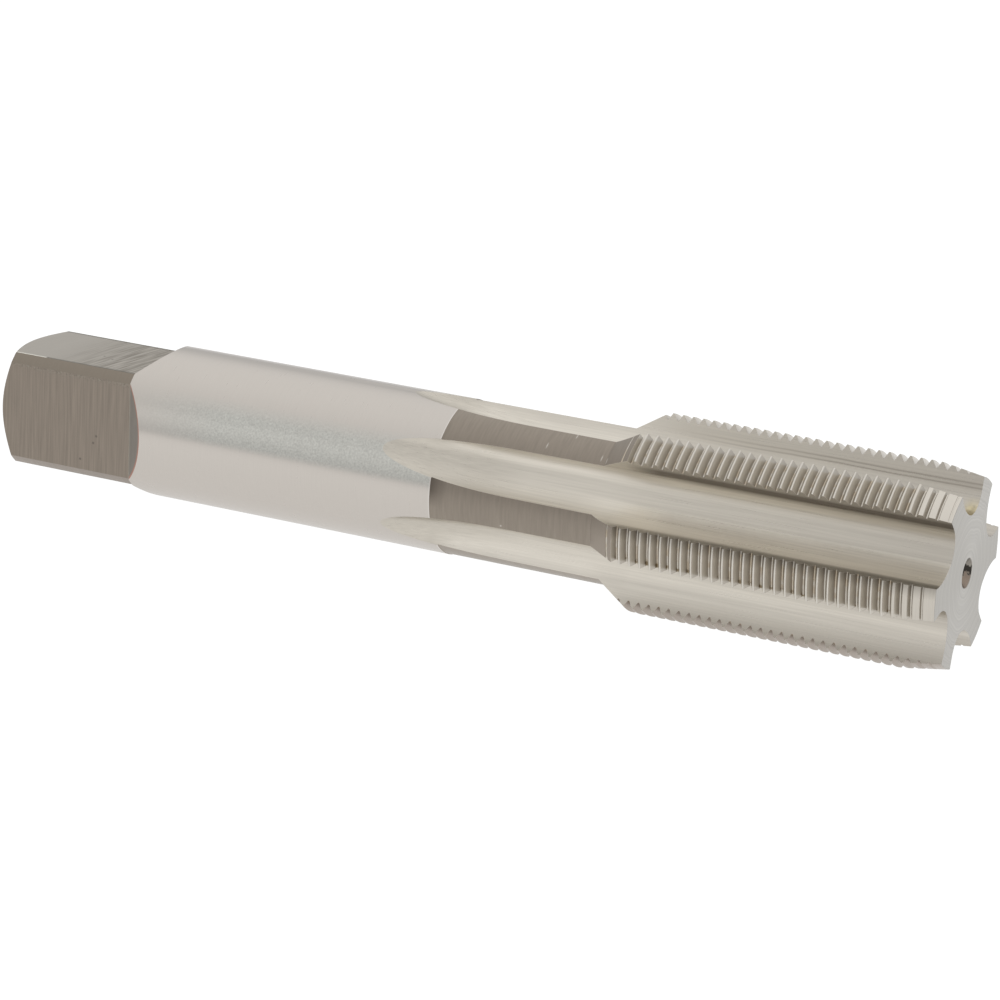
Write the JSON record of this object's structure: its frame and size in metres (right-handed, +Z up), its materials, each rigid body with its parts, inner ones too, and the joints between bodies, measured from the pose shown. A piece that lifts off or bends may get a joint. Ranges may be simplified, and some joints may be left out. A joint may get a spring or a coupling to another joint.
{
  "type": "straight flute tap",
  "caption": "Right-hand machine and hand tap with straight flutes, a threaded cutting end with a plug lead, a necked body, a ground round shank and a milled drive square.",
  "frame": {"origin": "centre of the drive end's flat face, on the tool's axis", "axes": "+X along the axis to the cutting end; +Z up as the tap lies on two of its lands, with a flute straight below the axis"},
  "size_m": [0.1472, 0.0282, 0.0264],
  "materials": {
    "ground_steel": "ground and turned high-speed steel, uncoated"
  },
  "bodies": {
    "root": {"tap": "ground_steel"}
  },
  "joints": []
}
